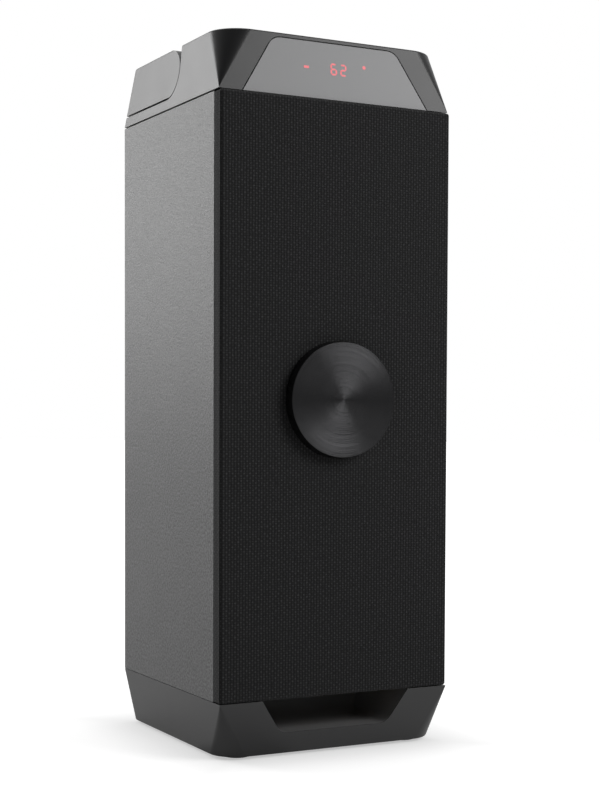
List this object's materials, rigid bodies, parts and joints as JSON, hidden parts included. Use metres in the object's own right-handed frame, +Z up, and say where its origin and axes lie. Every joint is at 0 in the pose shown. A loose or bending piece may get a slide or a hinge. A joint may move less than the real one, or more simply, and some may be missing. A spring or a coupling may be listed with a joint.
{
  "type": "party speaker",
  "caption": "Tall free-standing party loudspeaker with a cloth-covered front, a top display window, a swinging carry handle, top controls and a bass port in its base.",
  "frame": {"origin": "on the floor, under the middle of the part's bounding box", "axes": "+Z up, the cloth front faces -Y, +X to the right as seen from the front"},
  "size_m": [0.26, 0.2744, 0.7342],
  "materials": {
    "satin_plastic": "satin moulded dark grey plastic, fine even texture",
    "base_plastic": "matt black moulded plastic",
    "vinyl_board": "fibreboard wrapped in fine-grained dark grey vinyl",
    "fibreboard": "bare medium-density fibreboard, inside the cabinet",
    "grille_cloth": "black knitted acoustic cloth, stretched",
    "frame_plastic": "black moulded plastic",
    "anodised_disc": "black anodised aluminium with a spun face",
    "smoked_window": "glossy grey smoked acrylic",
    "rubber_black": "soft black rubber",
    "steel_plated": "plated steel",
    "steel_painted": "black painted pressed steel",
    "paper_cone": "black pressed paper pulp",
    "ferrite": "dark grey ferrite",
    "copper_wire": "enamelled copper wire on a former",
    "circuit_board": "green glass-fibre circuit board",
    "sink_aluminium": "bare extruded aluminium",
    "silk": "coated silk",
    "button_rubber": "moulded silicone rubber keys"
  },
  "bodies": {
    "cabinet": {"amplifier_board": "circuit_board", "base_shell": "base_plastic", "battery": "base_plastic", "bottom_board": "fibreboard", "cap_shell": "satin_plastic", "centre_disc": "anodised_disc", "control_board": "circuit_board", "control_panel": "frame_plastic", "display_board": "circuit_board", "display_window": "smoked_window", "foot_front_left": "rubber_black", "foot_front_right": "rubber_black", "foot_rear_left": "rubber_black", "foot_rear_right": "rubber_black", "front_baffle": "fibreboard", "grille_cloth": "grille_cloth", "grille_frame": "frame_plastic", "heat_sink": "sink_aluminium", "input_panel": "frame_plastic", "left_side_panel": "vinyl_board", "lower_woofer_basket": "steel_painted", "lower_woofer_magnet": "ferrite", "lower_woofer_spider": "silk", "lower_woofer_surround": "rubber_black", "lower_woofer_yoke": "steel_plated", "microphone_jack_left": "frame_plastic", "microphone_jack_right": "frame_plastic", "pivot_pin_left": "steel_plated", "pivot_pin_right": "steel_plated", "port_duct": "frame_plastic", "power_inlet": "frame_plastic", "power_supply": "circuit_board", "rear_panel": "vinyl_board", "right_side_panel": "vinyl_board", "rocker_housing": "frame_plastic", "top_board": "fibreboard", "tweeter_dome": "silk", "tweeter_horn": "frame_plastic", "upper_woofer_basket": "steel_painted", "upper_woofer_magnet": "ferrite", "upper_woofer_spider": "silk", "upper_woofer_surround": "rubber_black", "upper_woofer_yoke": "steel_plated", "volume_encoder": "steel_plated"},
    "handle": {"carry_handle": "satin_plastic"},
    "volume": {"volume_knob": "anodised_disc", "encoder_shaft": "steel_plated"},
    "power_key": {"power_button": "button_rubber"},
    "source_key": {"source_button": "button_rubber"},
    "previous_key": {"previous_button": "button_rubber"},
    "play_key": {"play_button": "button_rubber"},
    "next_key": {"next_button": "button_rubber"},
    "tone_key": {"tone_button": "button_rubber"},
    "rocker": {"power_rocker": "frame_plastic"},
    "upper_cone": {"upper_woofer_cone": "paper_cone", "upper_woofer_dust_cap": "paper_cone", "upper_woofer_voice_coil": "copper_wire"},
    "lower_cone": {"lower_woofer_cone": "paper_cone", "lower_woofer_dust_cap": "paper_cone", "lower_woofer_voice_coil": "copper_wire"}
  },
  "joints": [
    {"name": "handle_swing", "type": "hinge", "parent": "cabinet", "child": "handle", "pos_m": [0, 0.0148, 0.6979], "axis": [1, 0, 0], "range_deg": [0, 90]},
    {"name": "volume_turn", "type": "hinge", "parent": "cabinet", "child": "volume", "pos_m": [0, -0.0172, 0.7204], "axis": [0, 0, 1], "continuous": true},
    {"name": "power_press", "type": "slide", "parent": "cabinet", "child": "power_key", "axis": [0, 0, -1], "range_m": [0, 0.0008], "stiffness_N_per_m": 1000},
    {"name": "source_press", "type": "slide", "parent": "cabinet", "child": "source_key", "axis": [0, 0, -1], "range_m": [0, 0.0008], "stiffness_N_per_m": 1000},
    {"name": "previous_press", "type": "slide", "parent": "cabinet", "child": "previous_key", "axis": [0, 0, -1], "range_m": [0, 0.0008], "stiffness_N_per_m": 1000},
    {"name": "play_press", "type": "slide", "parent": "cabinet", "child": "play_key", "axis": [0, 0, -1], "range_m": [0, 0.0008], "stiffness_N_per_m": 1000},
    {"name": "next_press", "type": "slide", "parent": "cabinet", "child": "next_key", "axis": [0, 0, -1], "range_m": [0, 0.0008], "stiffness_N_per_m": 1000},
    {"name": "tone_press", "type": "slide", "parent": "cabinet", "child": "tone_key", "axis": [0, 0, -1], "range_m": [0, 0.0008], "stiffness_N_per_m": 1000},
    {"name": "rocker_tip", "type": "hinge", "parent": "cabinet", "child": "rocker", "pos_m": [0.03, 0.1322, 0.1752], "axis": [0, 0, 1], "range_deg": [0, 16]},
    {"name": "upper_cone_travel", "type": "slide", "parent": "cabinet", "child": "upper_cone", "axis": [0, -1, 0], "range_m": [-0.0025, 0.0025], "stiffness_N_per_m": 2500, "deforming": ["upper_woofer_surround", "upper_woofer_spider"]},
    {"name": "lower_cone_travel", "type": "slide", "parent": "cabinet", "child": "lower_cone", "axis": [0, -1, 0], "range_m": [-0.0025, 0.0025], "stiffness_N_per_m": 2500, "deforming": ["lower_woofer_surround", "lower_woofer_spider"]}
  ]
}
